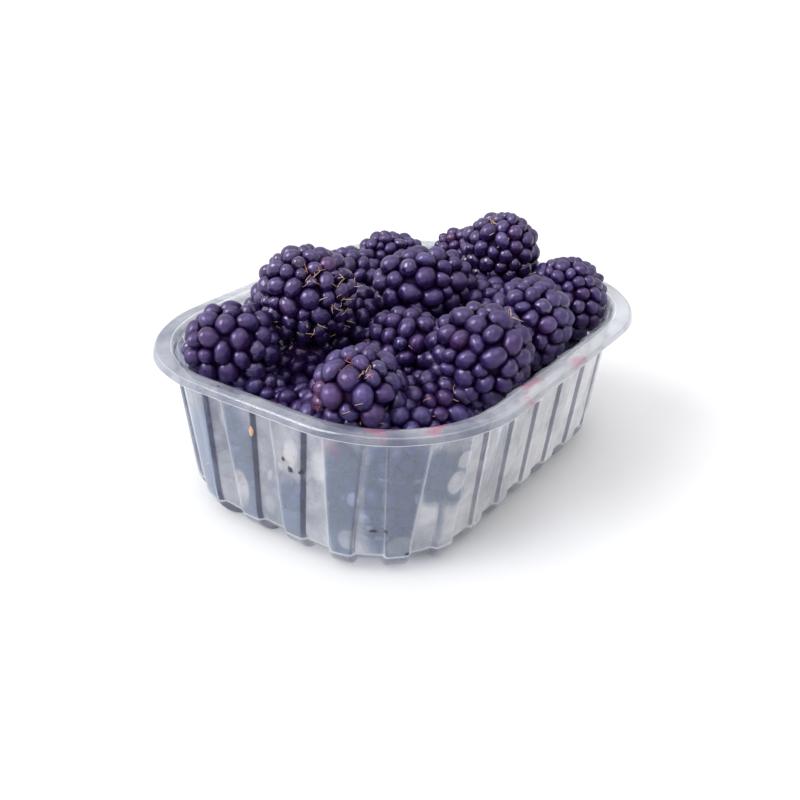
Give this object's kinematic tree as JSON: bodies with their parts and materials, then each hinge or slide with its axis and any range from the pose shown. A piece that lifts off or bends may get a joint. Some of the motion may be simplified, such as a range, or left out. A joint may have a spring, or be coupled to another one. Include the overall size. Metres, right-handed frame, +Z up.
{
  "type": "punnet of bramble berries",
  "caption": "Clear fluted plastic punnet with a turned-down rim and small feet, heaped above the rim with dark ripe bramble berries.",
  "frame": {"origin": "on the resting plane, under the middle of the rim, which is the middle of the box's bottom", "axes": "+X along the long side of the rim, +Y along its short side, +Z up"},
  "size_m": [0.1192, 0.101, 0.0632],
  "materials": {
    "clear_plastic": "thin clear sheet, slightly milky, glossy",
    "berry_skin": "satin fruit skin, blue-violet to nearly black, with a faint bloom"
  },
  "bodies": {
    "root": {"punnet": "clear_plastic", "berries": "berry_skin"}
  },
  "joints": []
}
